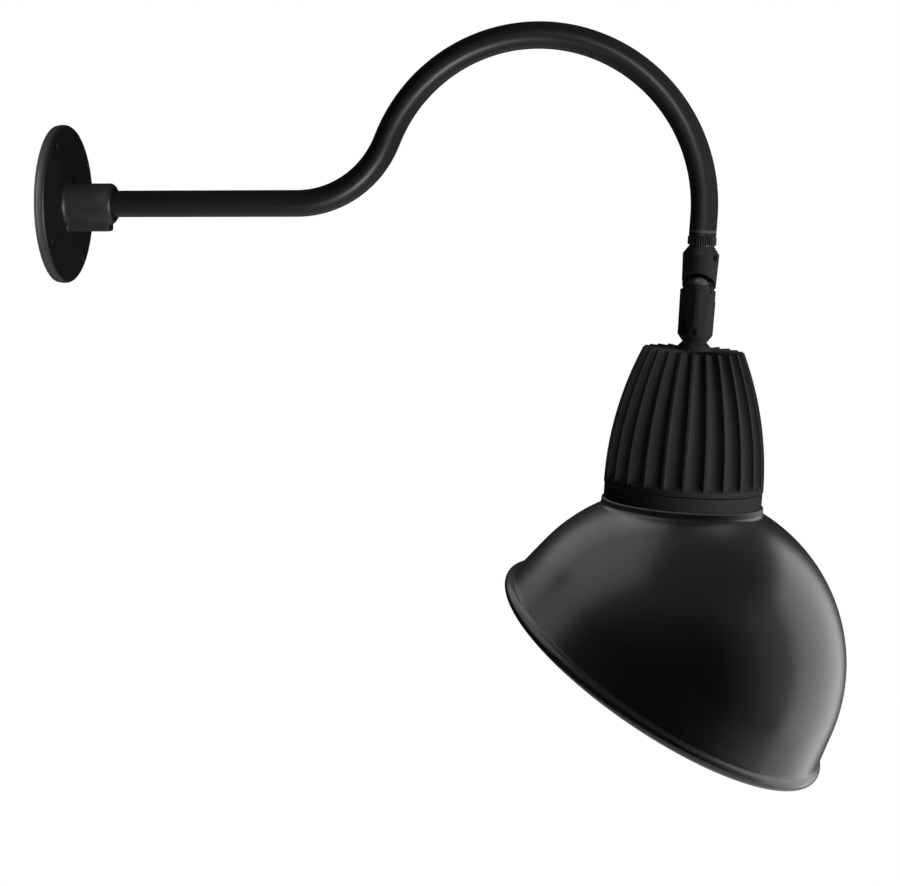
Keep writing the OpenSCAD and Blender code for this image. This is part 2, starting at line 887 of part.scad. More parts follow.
module lens() {
    color("lightcyan", 0.4)
    head()
        post(lens_u, lens_seat_u, lens_d / 2, lens_d / 2);
}

// Depth at which a sphere about the dome's centre has radius r
function sphere_u(ball, r) = dome_drop - sqrt(ball * ball - r * r);

// Ring that holds the shade's shoulder up against the lens frame
module clamp_ring() {
    seat = dome_in_r - free_gap;
    inner_r = frame_screw_circle / 2 - screw_d;
    lip_r = neck_in_r - free_gap;
    color(black)
    head()
        difference() {
            rotate_extrude()
                polygon([[inner_r, -frame_end_u], [lip_r, -frame_end_u],
                    [lip_r, -max(frame_end_u, sphere_u(seat, lip_r))],
                    [clamp_d / 2, -sphere_u(seat, clamp_d / 2)], [clamp_d / 2, -clamp_end_u],
                    [inner_r, -clamp_end_u]]);
            around(3, frame_screw_circle / 2)
                post(0, far, screw_d / 2 + 0.2, screw_d / 2 + 0.2);
        }
}

module clamp_screws() {
    color(steel)
    head()
        around(3, frame_screw_circle / 2)
            screw_up(clamp_end_u, clamp_end_u - clamp_screw_u - 1, screw_d, screw_d * 1.75, head_h);
}

// Children drawn about the dome's axis, with the dome's centre at the origin and the opening below
module dome_frame() {
    head()
        rotate([0, 0, -shade_turn])
            translate([0, 0, -dome_drop])
                rotate([0, dome_tilt, 0])
                    children();
}

neck_flare = 2.5;

// The skirt's upper end starts this far inside the dome, so that the two cross cleanly
skirt_ease = 0.1;

// Solid dome of radius r, above the dome's equator
module dome_ball(r) {
    difference() {
        head()
            translate([0, 0, -dome_drop])
                sphere(r = r, $fn = 180);
        dome_frame()
            translate([-far, -far, -far])
                cube([2 * far, 2 * far, far]);
    }
}

// Half section of the solid skirt that runs on from a dome of radius r down to the rim
module skirt_side(r) {
    t = skirt_angle;
    polygon([[0, r * sin(t)], [r * cos(t) - skirt_ease, r * sin(t)],
        [r / cos(t) + rim_drop * tan(t), -rim_drop], [0, -rim_drop]]);
}

module shade() {
    curl_r = bead_r - sheet_t;
    color(black)
    difference() {
        union() {
            dome_ball(dome_r);
            dome_frame()
                rotate_extrude() {
                    skirt_side(dome_r);
                    translate([bead_c, -rim_drop])
                        circle(r = bead_r);
                }
            head()
                post(neck_top_u, sphere_u(dome_r, neck_out_r) + 1, neck_out_r, neck_out_r);
            head()
                post(sphere_u(dome_r, neck_out_r) - neck_flare, sphere_u(dome_r, neck_out_r + neck_flare),
                    neck_out_r, neck_out_r + neck_flare);
        }
        dome_ball(dome_in_r);
        dome_frame()
            rotate_extrude() {
                skirt_side(dome_in_r);
                translate([bead_c, -rim_drop])
                    circle(r = curl_r);
            }
        head()
            post(0, dome_drop - dome_r / 2, neck_in_r, neck_in_r);
    }
}

wall_plate();
wall_gasket();
earth_screw();
hub_set_screw();
arm_tube();
arm_leads();
nipple();
lock_ring();
knuckle_upper();
upper_set_screw();
bolt_lock_washer();
knuckle_washer();
pivot_bolt();
knuckle_lower();
lower_set_screw();
neck_seal();
housing();
driver();
driver_screws();
driver_leads();
led_carrier();
carrier_screws();
thermal_pad();
led_board();
led_emitter();
board_screws();
board_leads();
reflector();
frame_gasket();
lens_frame();
frame_screws();
lens_gasket();
lens();
clamp_ring();
clamp_screws();
shade();
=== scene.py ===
import bmesh
import bpy
import json
import math
from mathutils import Matrix, Vector


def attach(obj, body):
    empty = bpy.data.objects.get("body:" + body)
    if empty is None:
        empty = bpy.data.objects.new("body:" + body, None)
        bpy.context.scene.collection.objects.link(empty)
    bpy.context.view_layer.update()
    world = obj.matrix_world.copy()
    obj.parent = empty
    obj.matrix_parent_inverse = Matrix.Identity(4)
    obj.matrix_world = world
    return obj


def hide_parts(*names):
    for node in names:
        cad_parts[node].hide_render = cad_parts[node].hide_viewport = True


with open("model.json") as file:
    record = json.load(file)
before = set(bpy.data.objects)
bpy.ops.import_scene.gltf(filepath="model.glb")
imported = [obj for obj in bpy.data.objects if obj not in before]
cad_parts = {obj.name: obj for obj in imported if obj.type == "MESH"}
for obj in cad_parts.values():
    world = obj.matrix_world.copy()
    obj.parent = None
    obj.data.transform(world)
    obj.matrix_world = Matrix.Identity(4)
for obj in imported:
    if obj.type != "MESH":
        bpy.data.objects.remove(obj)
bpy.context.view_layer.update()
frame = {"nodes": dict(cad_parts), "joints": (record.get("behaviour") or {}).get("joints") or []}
nodes = frame["nodes"]
mm = 0.001  # sizes are in millimetres and angles in degrees; lamps, floor and clipping are in metres

print("frame loaded, dressing the wall light")


# The lamp's axis, from the joint that swivels it: depth u runs down from the arm's end
swivelJoint = next(j for j in frame["joints"] if j["name"] == "head_swivel")
shadeTurn = 7.5  # how far the shade is turned about that axis


def lampFrame():
    start = Vector(swivelJoint["pos_m"]) / mm
    up = Vector(swivelJoint["axis"]).normalized()
    side = Vector((0, 1, 0))
    along = side.cross(up)
    turn = Matrix((along, side, up)).transposed().to_4x4()
    return Matrix.Translation(start) @ turn


lampAxis = lampFrame()
lampBack = lampAxis.inverted()


def onLamp(x, y, u):
    return lampAxis @ Vector((x, y, -u))


def polar(r, a):
    return r * math.cos(a), r * math.sin(a)


# Evenly spaced angles round one full turn
def roundAngles(count):
    return [2 * math.pi * j / count for j in range(count)]


def lampRing(r, u, sides):
    return [onLamp(*polar(r, a), u) for a in roundAngles(sides)]


# Turns a drawn corner list of (r, u, fillet) into an outline with round corners
def roundOutline(corners, steps):
    outline = []
    for i, (r, u, fillet) in enumerate(corners):
        here = Vector((r, u))
        if fillet == 0:
            outline.append(here)
            continue
        back = (Vector(corners[i - 1][:2]) - here).normalized()
        ahead = (Vector(corners[(i + 1) % len(corners)][:2]) - here).normalized()
        half = back.angle(ahead) / 2
        centre = here + (back + ahead).normalized() * fillet / math.sin(half)
        first = here + back * fillet / math.tan(half) - centre
        last = here + ahead * fillet / math.tan(half) - centre
        start = math.atan2(first.y, first.x)
        sweep = math.remainder(math.atan2(last.y, last.x) - start, 2 * math.pi)
        for k in range(steps + 1):
            a = start + sweep * k / steps
            outline.append(centre + Vector((math.cos(a), math.sin(a))) * fillet)
    return outline


def addPiece(name, mesh, body, slot, *replaced):
    piece = bpy.data.objects.new(name, mesh)
    bpy.context.scene.collection.objects.link(piece)
    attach(piece, body)
    if replaced:
        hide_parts(*replaced)
    return piece


edgeShare = 0.3  # a small round edge has one middle ring, this share of its size off each face


# Skins a closed row of rings, each a loop with the same number of points
def ringMesh(name, rings, sharp=40):
    count = len(rings[0])
    points = [p * mm for ring in rings for p in ring]
    faces = []
    for i in range(len(rings)):
        a, b = i * count, (i + 1) % len(rings) * count
        for j in range(count):
            k = (j + 1) % count
            faces.append((a + j, a + k, b + k, b + j))
    mesh = bpy.data.meshes.new(name)
    mesh.from_pydata(points, [], faces)
    mesh.update()
    form = bmesh.new()
    form.from_mesh(mesh)
    bmesh.ops.recalc_face_normals(form, faces=form.faces)
    form.to_mesh(mesh)
    form.free()
    mesh.shade_smooth()
    mesh.set_sharp_from_angle(angle=math.radians(sharp))
    return mesh


# Materials
def newGroup(name, inputs, outputs):
    tree = bpy.data.node_groups.new(name, "ShaderNodeTree")
    for label, value in inputs.items():
        socket = tree.interface.new_socket(name=label, in_out="INPUT", socket_type="NodeSocketFloat")
        socket.default_value = value
    for label in outputs:
        tree.interface.new_socket(name=label, in_out="OUTPUT", socket_type="NodeSocketFloat")
    return tree, tree.nodes.new("NodeGroupInput"), tree.nodes.new("NodeGroupOutput")


# Gives a socket a plain number, or links another node's output to it
def feed(tree, socket, value):
    if isinstance(value, (int, float)):
        socket.default_value = value
    else:
        tree.links.new(value, socket)


def addMath(tree, operation, a, b, clamp=False):
    node = tree.nodes.new("ShaderNodeMath")
    node.operation = operation
    node.use_clamp = clamp
    feed(tree, node.inputs[0], a)
    feed(tree, node.inputs[1], b)
    return node.outputs[0]


def addNoise(tree, place, scale, detail=3.0, rough=0.6):
    node = tree.nodes.new("ShaderNodeTexNoise")
    tree.links.new(place, node.inputs["Vector"])
    feed(tree, node.inputs["Scale"], scale)
    node.inputs["Detail"].default_value = detail
    node.inputs["Roughness"].default_value = rough
    return node.outputs["Fac"]


# Makes a noise of nought to one swing about nought, by up to half the amount each way
def sway(tree, noise, amount):
    return addMath(tree, "MULTIPLY", addMath(tree, "SUBTRACT", noise, 0.5), amount)


# Powder coat: fine orange peel in the height, cloudy change in the gloss, thin film on raised edges
coatPattern = dict(cloud=38.0, fleck=0.12, edgeFrom=0.53, edgeGain=9.0, chips=260.0)


def coatGroup():
    p = coatPattern
    tree, given, out = newGroup(
        "powderCoat", {"Grain Scale": 900.0, "Grain Height": 0.5, "Gloss": 0.4, "Gloss Change": 0.05},
        ["Height", "Roughness", "Edge"])
    place = tree.nodes.new("ShaderNodeTexCoord").outputs["Object"]
    grain = addNoise(tree, place, given.outputs["Grain Scale"], detail=2.0, rough=0.55)
    tree.links.new(addMath(tree, "MULTIPLY", grain, given.outputs["Grain Height"]), out.inputs["Height"])
    change = sway(tree, addNoise(tree, place, p["cloud"]), given.outputs["Gloss Change"])
    fleck = sway(tree, grain, p["fleck"])
    rough = addMath(tree, "ADD", addMath(tree, "ADD", change, fleck), given.outputs["Gloss"], True)
    tree.links.new(rough, out.inputs["Roughness"])
    bend = tree.nodes.new("ShaderNodeNewGeometry").outputs["Pointiness"]
    edge = addMath(tree, "MULTIPLY", addMath(tree, "SUBTRACT", bend, p["edgeFrom"]), p["edgeGain"], True)
    broken = addMath(tree, "MULTIPLY", edge, addNoise(tree, place, p["chips"]))
    tree.links.new(broken, out.inputs["Edge"])
    return tree


# Fine lines left by a tool or a roller, with a cloudy change in gloss
toolPattern = dict(stretch=(0.04, 0.04, 1.0), cloud=60.0, contrast=0.4)


def toolGroup():
    p = toolPattern
    tree, given, out = newGroup(
        "toolLines", {"Line Scale": 1500.0, "Gloss": 0.3, "Gloss Change": 0.1},
        ["Height", "Roughness", "Shade"])
    place = tree.nodes.new("ShaderNodeTexCoord").outputs["Object"]
    stretch = tree.nodes.new("ShaderNodeMapping")
    stretch.inputs["Scale"].default_value = p["stretch"]
    tree.links.new(place, stretch.inputs["Vector"])
    lines = addNoise(tree, stretch.outputs[0], given.outputs["Line Scale"], detail=2.0, rough=0.5)
    tree.links.new(lines, out.inputs["Height"])
    change = sway(tree, addNoise(tree, place, p["cloud"]), given.outputs["Gloss Change"])
    tree.links.new(addMath(tree, "ADD", change, given.outputs["Gloss"], True), out.inputs["Roughness"])
    shade = addMath(tree, "ADD", addMath(tree, "MULTIPLY", lines, p["contrast"]), 1 - p["contrast"])
    tree.links.new(shade, out.inputs["Shade"])
    return tree


coatTree = coatGroup()
toolTree = toolGroup()


def newMaterial(name):
    material = bpy.data.materials.new(name)
    material.use_nodes = True
    tree = material.node_tree
    return material, tree, tree.nodes["Principled BSDF"]


def placeGroup(tree, group, values):
    node = tree.nodes.new("ShaderNodeGroup")
    node.node_tree = group
    for label, value in values.items():
        node.inputs[label].default_value = value
    return node


def mixColour(tree, share, low, high):
    node = tree.nodes.new("ShaderNodeMix")
    node.data_type = "RGBA"
    node.inputs[6].default_value = (*low, 1)
    node.inputs[7].default_value = (*high, 1)
    tree.links.new(share, node.inputs[0])
    return node.outputs[2]


def addBump(tree, shader, height, strength, distance):
    bump = tree.nodes.new("ShaderNodeBump")
    bump.inputs["Strength"].default_value = strength
    bump.inputs["Distance"].default_value = distance * mm
    tree.links.new(height, bump.inputs["Height"])
    tree.links.new(bump.outputs[0], shader.inputs["Normal"])


# Coats: edge is the colour on raised edges, change how far the gloss wanders, scale and grain the peel's
# fineness and height, and level how strongly the coat mirrors
coats = dict(
    plate=dict(colour=(0.016, 0.016, 0.0165), edge=(0.025, 0.025, 0.025), gloss=0.42, change=0.1, scale=900,
               grain=0.02, level=0.2),
    arm=dict(colour=(0.02, 0.02, 0.0205), edge=(0.03, 0.03, 0.03), gloss=0.37, change=0.04, scale=1100,
             grain=0.001, level=0.14),
    # A lighter grey for a band at the arm's end, a painted highlight
    armEndHighlight=dict(colour=(0.07, 0.07, 0.07), edge=(0.12, 0.12, 0.12), gloss=0.5, change=0.2, scale=700,
                grain=0.02, level=0.1),
    knuckle=dict(colour=(0.032, 0.032, 0.0325), edge=(0.05, 0.05, 0.05), gloss=0.55, change=0.1, scale=800,
                 grain=0.02, level=0.12),
    # The lock ring's coats: a lighter grey outside the grooves, a painted highlight, and near black in them,
    # painted shade
    ringHighlightCoat=dict(colour=(0.066, 0.066, 0.066), edge=(0.09, 0.09, 0.09), gloss=0.55, change=0.1, scale=800,
               grain=0.01, level=0.08),
    groove=dict(colour=(0.004, 0.004, 0.004), edge=(0.008, 0.008, 0.008), gloss=0.7, change=0.1, scale=800,
                grain=0.01, level=0.1),
    # A lighter grey for the lower cheek's crown, a painted highlight
    cheekHighlight=dict(colour=(0.085, 0.085, 0.085), edge=(0.12, 0.12, 0.12), gloss=0.45, change=0.2, scale=700,
                grain=0.02, level=0.3),
    # Lighter coats on the shade's neck: a grey on its lip, a painted highlight, and on its collar a duller,
    # slightly lighter copy of the shade's coat, painted light
    neck=dict(colour=(0.07, 0.07, 0.07), edge=(0.09, 0.09, 0.09), gloss=0.5, change=0.05, scale=700,
              grain=0.006, level=0.2),
    collarPaintedLight=dict(colour=(0.008, 0.008, 0.008), edge=(0.012, 0.012, 0.012), gloss=0.45, change=0.05,
                scale=900, grain=0.004, level=0.2),
    housing=dict(colour=(0.032, 0.032, 0.0325), edge=(0.05, 0.05, 0.05), gloss=0.6, change=0.1, scale=700,
                 grain=0.02, level=0.12),
    shade=dict(colour=(0.003, 0.003, 0.0032), edge=(0.006, 0.006, 0.006), gloss=0.29, change=0.03,
               scale=1300, grain=0.003, level=0.5),
    white=dict(colour=(0.78, 0.78, 0.76), edge=(0.7, 0.7, 0.69), gloss=0.35, change=0.06, scale=1200,
               grain=0.01, level=0.5))


def coatMaterial(name, key):
    p = coats[key]
    material, tree, shader = newMaterial(name)
    coat = placeGroup(tree, coatTree, {"Grain Scale": p["scale"], "Grain Height": 1.0, "Gloss": p["gloss"],
                                       "Gloss Change": p["change"]})
    colour = mixColour(tree, coat.outputs["Edge"], p["colour"], p["edge"])
    tree.links.new(colour, shader.inputs["Base Color"])
    tree.links.new(coat.outputs["Roughness"], shader.inputs["Roughness"])
    shader.inputs["Specular IOR Level"].default_value = p["level"]
    addBump(tree, shader, coat.outputs["Height"], strength=0.6, distance=p["grain"])
    return material


def toolMaterial(name, low, high, metal, gloss, change=0.15, lineScale=1500.0, bump=0.01):
    material, tree, shader = newMaterial(name)
    lines = placeGroup(tree, toolTree, {"Line Scale": lineScale, "Gloss": gloss, "Gloss Change": change})
    tree.links.new(mixColour(tree, lines.outputs["Shade"], low, high), shader.inputs["Base Color"])
    tree.links.new(lines.outputs["Roughness"], shader.inputs["Roughness"])
    shader.inputs["Metallic"].default_value = metal
    addBump(tree, shader, lines.outputs["Height"], strength=0.4, distance=bump)
    return material


# Rubber, plastic, paint and the like: clouds between two colours, over a grain six times as fine
def plainMaterial(name, low, high, gloss, scale, level=0.5):
    spread = 0.2  # how far the gloss wanders
    material, tree, shader = newMaterial(name)
    place = tree.nodes.new("ShaderNodeTexCoord").outputs["Object"]
    cloud = addNoise(tree, place, scale, detail=4.0)
    tree.links.new(mixColour(tree, cloud, low, high), shader.inputs["Base Color"])
    rough = addMath(tree, "ADD", addMath(tree, "MULTIPLY", cloud, spread), gloss - spread / 2, True)
    tree.links.new(rough, shader.inputs["Roughness"])
    shader.inputs["Specular IOR Level"].default_value = level
    grain = addNoise(tree, place, scale * 6, detail=2.0, rough=0.5)
    addBump(tree, shader, grain, strength=0.3, distance=0.02)
    return material


lensGlass = dict(colour=(0.95, 0.98, 0.97, 1), index=1.5, cloud=45.0, film=0.06)


def glassMaterial():
    p = lensGlass
    material, tree, shader = newMaterial("lensGlass")
    place = tree.nodes.new("ShaderNodeTexCoord").outputs["Object"]
    film = addMath(tree, "MULTIPLY", addNoise(tree, place, p["cloud"]), p["film"], True)
    tree.links.new(film, shader.inputs["Roughness"])
    shader.inputs["Base Color"].default_value = p["colour"]
    shader.inputs["Transmission Weight"].default_value = 1.0
    shader.inputs["IOR"].default_value = p["index"]
    return material


def wear(piece, *materials):
    piece.data.materials.clear()
    for material in materials:
        piece.data.materials.append(material)


# Casts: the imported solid's own form, remeshed fine and softened so its edges are round as cast
plateCast = dict(grid=0.72, soften=3, pull=0.5)
knuckleCast = dict(grid=0.34, soften=5, pull=0.5)
castWeld = 0.005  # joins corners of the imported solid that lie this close


def castMesh(name, node, cast):
    mesh = nodes[node].data.copy()
    form = bmesh.new()
    form.from_mesh(mesh)
    bmesh.ops.remove_doubles(form, verts=form.verts, dist=castWeld * mm)
    form.to_mesh(mesh)
    form.free()
    rough = bpy.data.objects.new(name + ".rough", mesh)
    bpy.context.scene.collection.objects.link(rough)
    grid = rough.modifiers.new("grid", "REMESH")
    grid.mode = "VOXEL"
    grid.voxel_size = cast["grid"] * mm
    soft = rough.modifiers.new("soft", "SMOOTH")
    soft.factor = cast["pull"]
    soft.iterations = cast["soften"]
    graph = bpy.context.evaluated_depsgraph_get()
    done = bpy.data.meshes.new_from_object(rough.evaluated_get(graph))
    bpy.data.objects.remove(rough)
    done.materials.clear()
    done.name = name
    done.shade_smooth()
    return done


def castPiece(name, node, cast, body, slot):
    return addPiece(name, castMesh(name, node, cast), body, slot, node)


# The lower knuckle's body is a bar with flats whose corners stay round
barFlats = dict(count=8, radius=13.35, firstCorner=-84, top=30, end=79)


def cutFlats(mesh):
    p = barFlats
    step = 2 * math.pi / p["count"]
    sides = [math.radians(p["firstCorner"]) + step * (k + 0.5) for k in range(p["count"])]
    for vertex in mesh.vertices:
        place = lampBack @ (vertex.co / mm)
        if not p["top"] < -place.z < p["end"]:
            continue
        for side in sides:
            outward = Vector((math.cos(side), math.sin(side), 0))
            over = place.dot(outward) - p["radius"]
            if over > 0:
                place -= outward * over
        vertex.co = (lampAxis @ place) * mm


# The lower cheek's front carries the bar's face up to a bevel under the arched seam, with a painted
# highlight, a lighter grey, at its crown
cheek = dict(hinge=43.2, radius=12, front=-8, faceRadius=13.6, bevel=5, slack=0.02, highlightFrom=6.8,
             highlightSlack=0.3)


# A point in the lamp's own axes, and how far it is from the hinge's middle
def fromHinge(point):
    place = lampBack @ (point / mm)
    return place, math.hypot(place.x, -place.z - cheek["hinge"])


def shapeCheek(mesh):
    p = cheek
    flat = p["radius"] - p["bevel"]
    for vertex in mesh.vertices:
        place, r = fromHinge(vertex.co)
        if place.y > p["front"] or -place.z > p["hinge"] or r > p["radius"] + p["slack"]:
            continue
        fall = min(max(r - flat, 0), p["bevel"])
        rounded = p["bevel"] - math.sqrt(p["bevel"] ** 2 - fall ** 2)
        place.y = rounded - math.sqrt(p["faceRadius"] ** 2 - place.x ** 2)
        vertex.co = (lampAxis @ place) * mm


# Faces at the cheek's crown wear the second coat, a lighter grey that is a painted highlight
def paintCheekHighlight(mesh):
    p = cheek
    for face in mesh.polygons:
        place, r = fromHinge(face.center)
        high = -place.z < p["hinge"] - p["highlightFrom"]
        if place.y < p["front"] and high and r < p["radius"] + p["highlightSlack"]:
            face.material_index = 1


def makeCastings():
    plate = castPiece("wallPlateCasting", "wall_plate", plateCast, "arm", "plate_black")
    upper = castPiece("knuckleUpperCasting", "knuckle_upper", knuckleCast, "swivel", "knuckle_black")
    lower = castPiece("knuckleLowerCasting", "knuckle_lower", knuckleCast, "head", "knuckle_black")
    shapeCheek(lower.data)
    cutFlats(lower.data)
    knuckleCoat = coatMaterial("knuckleCoat", "knuckle")
    wear(plate, coatMaterial("plateCoat", "plate"))
    wear(upper, knuckleCoat)
    wear(lower, knuckleCoat, coatMaterial("cheekPaintedHighlight", "cheekHighlight"))
    paintCheekHighlight(lower.data)
    print("castings remeshed:", *[len(p.data.polygons) for p in (plate, upper, lower)])
    return plate, upper, lower


# Bent tube arm; a lighter grey coat, a painted highlight, covers a narrow band near the end, from two
# thirds of the drop to bandEnd
armPipe = dict(start=17, run=197.5, outer=10.65, bore=8.15, bendRadius=80, bendAngle=67.5, archRadius=130.5,
               lean=4.5, drop=15.5, edge=0.5, sides=72, straightStep=8, step=2.5, bandEnd=12.4, lastRow=14.8)


# Places along the tube's centre line, each with the direction it runs in
def armLine():
    p = armPipe
    bend, lean = math.radians(p["bendAngle"]), math.radians(p["lean"])
    line = []
    straight = p["run"] - p["start"]
    count = round(straight / p["straightStep"])
    for i in range(count):
        line.append((Vector((p["start"] + straight * i / count, 0, 0)), 0.0))
    count = round(p["bendRadius"] * bend / p["step"])
    for i in range(count):
        a = bend * i / count
        x = p["run"] + p["bendRadius"] * math.sin(a)
        z = p["bendRadius"] * (1 - math.cos(a))
        line.append((Vector((x, 0, z)), a))
    reach = p["bendRadius"] + p["archRadius"]
    centre = Vector((p["run"] + reach * math.sin(bend), 0, p["bendRadius"] - reach * math.cos(bend)))
    sweep = bend + math.pi / 2 + lean
    count = round(p["archRadius"] * sweep / p["step"])
    for i in range(count):
        a = bend - sweep * i / count
        line.append((centre + Vector((-math.sin(a), 0, math.cos(a))) * p["archRadius"], a))
    down = -math.pi / 2 - lean
    corner = centre + Vector((math.cos(lean), 0, -math.sin(lean))) * p["archRadius"]
    for fall in (0, p["drop"] / 3, p["drop"] * 2 / 3, p["bandEnd"], p["lastRow"], p["drop"]):
        line.append((corner + Vector((math.cos(down), 0, math.sin(down))) * fall, down))
    return line


def makeArm():
    p = armPipe
    line = armLine()

    def section(place, angle, r, shift=0.0):
        along = Vector((math.cos(angle), 0, math.sin(angle)))
        across = Vector((-math.sin(angle), 0, math.cos(angle)))
        side = Vector((0, 1, 0))
        middle = place + along * shift
        return [middle + (across * math.cos(t) + side * math.sin(t)) * r for t in roundAngles(p["sides"])]

    first, last = line[0], line[-1]
    rings = [section(*first, p["outer"] - p["edge"]), section(*first, p["outer"], p["edge"])]
    rings += [section(*spot, p["outer"]) for spot in line[1:-1]]
    rings += [section(*last, p["outer"], -p["edge"]), section(*last, p["outer"] - p["edge"])]
    rings += [section(*last, p["bore"])]
    rings += [section(*spot, p["bore"]) for spot in reversed(line[:-1])]
    arm = addPiece("armPipe", ringMesh("armPipe", rings), "arm", "arm_black", "arm_tube")
    wear(arm, coatMaterial("armCoat", "arm"), coatMaterial("armEndHighlight", "armEndHighlight"))
    # Faces of that band wear the second coat, the painted highlight
    bandFaces = (len(line) - 3) * p["sides"]  # the first of the faces that end at bandEnd
    for face in arm.data.polygons[bandFaces:bandFaces + p["sides"]]:
        face.material_index = 1
    print("arm bent:", len(line), "stations")
    return arm


# Knurled lock ring at the arm's end; the two shares are what is left of the grooves' depth at its flat
# ends and rounded edges, and grooveRows and grooveColumns are the faces that lie in a groove
lockRing = dict(top=0.1, bottom=6.7, outer=11.2, bore=8.16, edge=0.6, landing=0.5, knurls=36, groove=1.0,
                faceShare=0.15, cornerShare=0.6, narrowing=1.3, columns=10, rows=6,
                grooveRows=range(2, 10), grooveColumns=(0, 1, 8, 9))


def makeLockRing():
    p = lockRing
    sides = p["knurls"] * p["columns"]
    r, e = p["outer"], p["edge"]

    def knurled(r, u, share):
        ring = []
        for a in roundAngles(sides):
            wave = 0.5 + 0.5 * math.cos(a * p["knurls"])
            cut = p["groove"] * share * wave ** p["narrowing"]
            ring.append(onLamp(*polar(r - cut, a), u))
        return ring

    # Bore, flat landing and broken edge of one end; way leads into the ring
    def ringEnd(u, way):
        return [lampRing(p["bore"], u, sides), knurled(r - e - p["landing"], u, 0),
                knurled(r - e, u, p["faceShare"]),
                knurled(r - e * edgeShare, u + way * e * edgeShare, p["cornerShare"])]

    rings = ringEnd(p["top"], 1)
    height = p["bottom"] - p["top"] - 2 * e
    rings += [knurled(r, p["top"] + e + height * k / p["rows"], 1) for k in range(p["rows"] + 1)]
    rings += reversed(ringEnd(p["bottom"], -1))
    ring = addPiece("lockRingKnurled", ringMesh("lockRingKnurled", rings, 50), "lock_ring", "knuckle_black",
                    "lock_ring")
    # A lighter grey outside the grooves is a painted highlight, and near black in them is painted shade
    wear(ring, coatMaterial("ringPaintedHighlight", "ringHighlightCoat"), coatMaterial("ringPaintedShade", "groove"))
    for face in ring.data.polygons:
        row, column = divmod(face.index, sides)
        sunk = row in p["grooveRows"] and column % p["columns"] in p["grooveColumns"]
        face.material_index = 1 if sunk else 0
    return ring


# Finned lamp housing; flute is the power of the grooves' round section, where 2 is an ellipse
lampHousing = dict(fins=24, tipRadius=62.3, arcRadius=262, depth=7, base=195.8, ringHeight=4.3, finTop=88.1,
                   ribProud=1.0, tipHalf=0.95, flute=2.0, fluteSteps=10, runOut=6.5, runOutSteps=8,
                   levels=46, wallStart=2, neckRadius=14.7, neckFoot=87.5, tipNeck=9.7, neckTop=82.4,
                   spigot=8, spigotTop=66.3, leadBore=5, bayRadius=36, bayTop=110.1, lampRadius=46,
                   lampTop=160, edge=0.45, ringSlope=0.6, deckShares=(0.0, 0.15, 0.35, 0.6, 0.85, 1.0))


# Outline of the finned body: an arc that stands upright at the base
def bulgeRadius(u):
    p = lampHousing
    return p["tipRadius"] - p["arcRadius"] + math.sqrt(p["arcRadius"] ** 2 - (p["base"] - u) ** 2)


# One fin pitch as (share of the groove's half width, share of its depth), from fin centre to fin centre
def fluteColumns():
    p = lampHousing
    wall = []
    for k in range(p["fluteSteps"] + 1):
        a = math.pi / 2 * k / p["fluteSteps"]
        wall.append((math.cos(a) ** (2 / p["flute"]), math.sin(a) ** (2 / p["flute"])))
    columns = [("tip", 0.0, 0.0), ("edge", 1.0, 0.0)] + [("wall", w, d) for w, d in wall[1:]]
    mirrored = [(kind, -w, d) for kind, w, d in reversed(columns[1:-1])]
    return columns + mirrored


def makeHousing():
    p = lampHousing
    pitch = 2 * math.pi / p["fins"]
    columns = fluteColumns()
    ringTop = p["base"] - p["ringHeight"]

    # Angle about the lamp's axis of a column that lies at radius r
    def columnAngle(fin, kind, w, r):
        ridge = (fin + 0.5) * pitch
        if kind == "tip":
            return ridge
        opening = pitch / 2 - math.asin(p["tipHalf"] / r)
        return ridge + (pitch / 2 - w * opening)

    def contour(place):
        ring = []
        for fin in range(p["fins"]):
            for kind, w, d in columns:
                r, u = place(kind, w, d)
                ring.append(onLamp(*polar(r, columnAngle(fin, kind, w, r)), u))
        return ring

    # Top deck, from the neck out to the fins, with a low rib behind each fin
    def deck(share):
        def place(kind, w, d):
            u = p["finTop"] + (0 if kind in ("tip", "edge") else p["ribProud"])
            outer = bulgeRadius(u) - p["depth"] * d
            return p["neckRadius"] + (outer - p["neckRadius"]) * share, u
        return place

    # Fins and grooves at depth u; the grooves run out in a quarter round above the base ring
    def fluted(u):
        fade = min(1.0, (ringTop - u) / p["runOut"])
        depth = p["depth"] * math.sqrt(max(0.0, 1 - (1 - fade) ** 2))
        return lambda kind, w, d: (bulgeRadius(u) - depth * d, u)

    def plain(r, u):
        return lambda kind, w, d: (r, u)

    places = [plain(p["tipNeck"], p["neckTop"]), plain(p["neckRadius"], p["neckFoot"])]
    places += [deck(share) for share in p["deckShares"]]
    straight = ringTop - p["runOut"] - p["finTop"] - p["wallStart"]
    levels = [p["finTop"] + p["wallStart"] + straight * k / p["levels"] for k in range(p["levels"])]
    steps = p["runOutSteps"]
    levels += [ringTop - p["runOut"] * math.cos(math.pi / 2 * k / steps) for k in range(steps + 1)]
    places += [fluted(u) for u in levels]
    e = p["edge"]
    baseRing = [(p["tipRadius"], ringTop + p["ringSlope"]), (p["tipRadius"], p["base"] - e),
                (p["tipRadius"] - e * edgeShare, p["base"] - e * edgeShare), (p["tipRadius"] - e, p["base"])]
    hollow = [(p["lampRadius"], p["base"]), (p["lampRadius"], p["lampTop"]), (p["bayRadius"], p["lampTop"]),
              (p["bayRadius"], p["bayTop"]), (p["leadBore"], p["bayTop"]), (p["leadBore"], p["spigotTop"]),
              (p["spigot"], p["spigotTop"]), (p["spigot"], p["neckTop"])]
    places += [plain(r, u) for r, u in baseRing + hollow]
    rings = [contour(place) for place in places]
    housing = addPiece("finnedHousing", ringMesh("finnedHousing", rings, 46), "head", "housing_black",
                       "housing")
    print("housing cast:", len(housing.data.polygons), "faces")
    return housing


